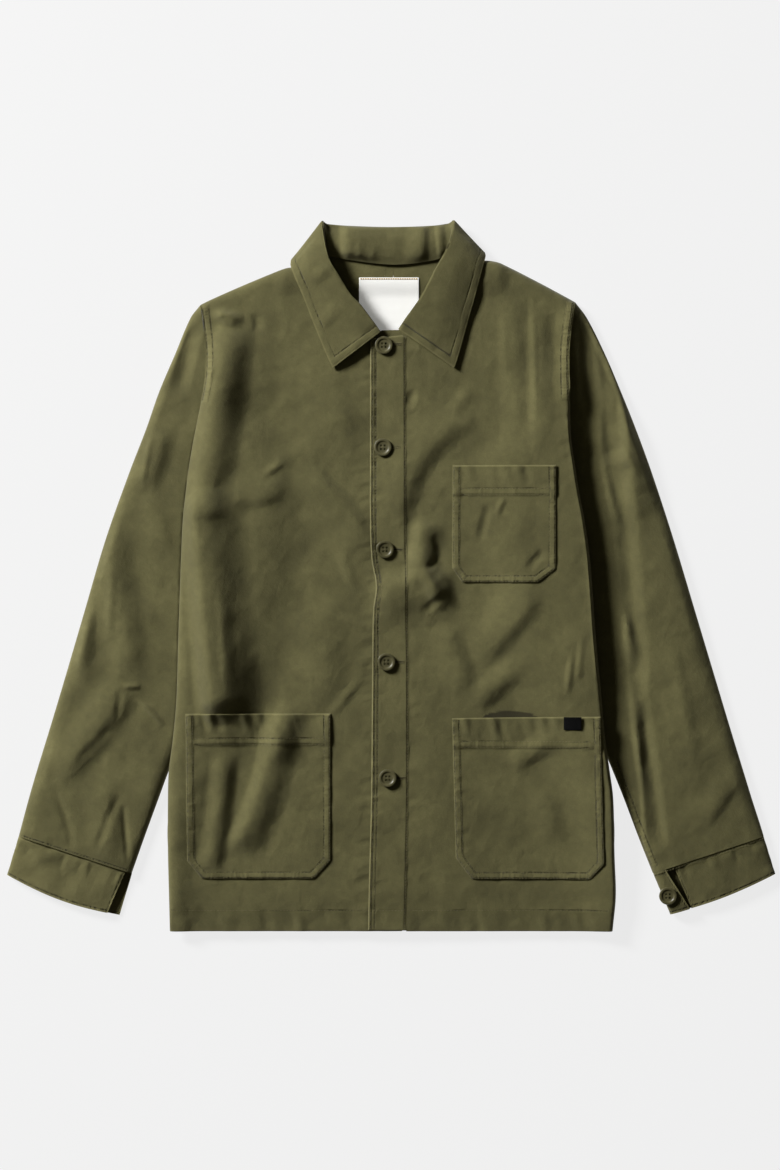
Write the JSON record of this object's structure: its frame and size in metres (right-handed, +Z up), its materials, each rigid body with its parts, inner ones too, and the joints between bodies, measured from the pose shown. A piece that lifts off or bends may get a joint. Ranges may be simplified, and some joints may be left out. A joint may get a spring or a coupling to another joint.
{
  "type": "chore jacket, laid flat",
  "caption": "Olive cotton chore jacket laid flat and buttoned, with a turned-down collar, patch pockets and buttoned cuffs; its sleeves lie beside the body.",
  "frame": {"origin": "middle of the outline, on the surface that the jacket lies on", "axes": "+X to the wearer's left, across both sleeves; +Y from the hem to the collar; +Z up out of the front, away from the surface"},
  "size_m": [0.8314, 0.7678, 0.0309],
  "materials": {
    "cloth": "matt olive cotton moleskin, washed, paler along its seams and edges",
    "cloth_inside": "the same cotton, seen inside the neck, matt and not worn",
    "label_cloth": "white woven label, bare, sewn down with pale thread",
    "tag_cloth": "black woven tag, bare",
    "button": "moulded resin, satin, olive and slightly mottled, with four holes"
  },
  "bodies": {
    "root": {"back_right": "cloth_inside", "back_left": "cloth_inside", "front_right": "cloth", "front_left": "cloth", "placket": "cloth", "chest_pocket": "cloth", "hip_pocket_right": "cloth", "hip_pocket_left": "cloth", "pocket_tag": "tag_cloth", "neck_label": "label_cloth", "collar": "cloth", "sleeve_right": "cloth", "cuff_right": "cloth", "sleeve_left": "cloth", "cuff_left": "cloth", "button_front_1": "button", "button_front_2": "button", "button_front_3": "button", "button_front_4": "button", "button_front_5": "button", "button_cuff_left": "button"}
  },
  "joints": []
}
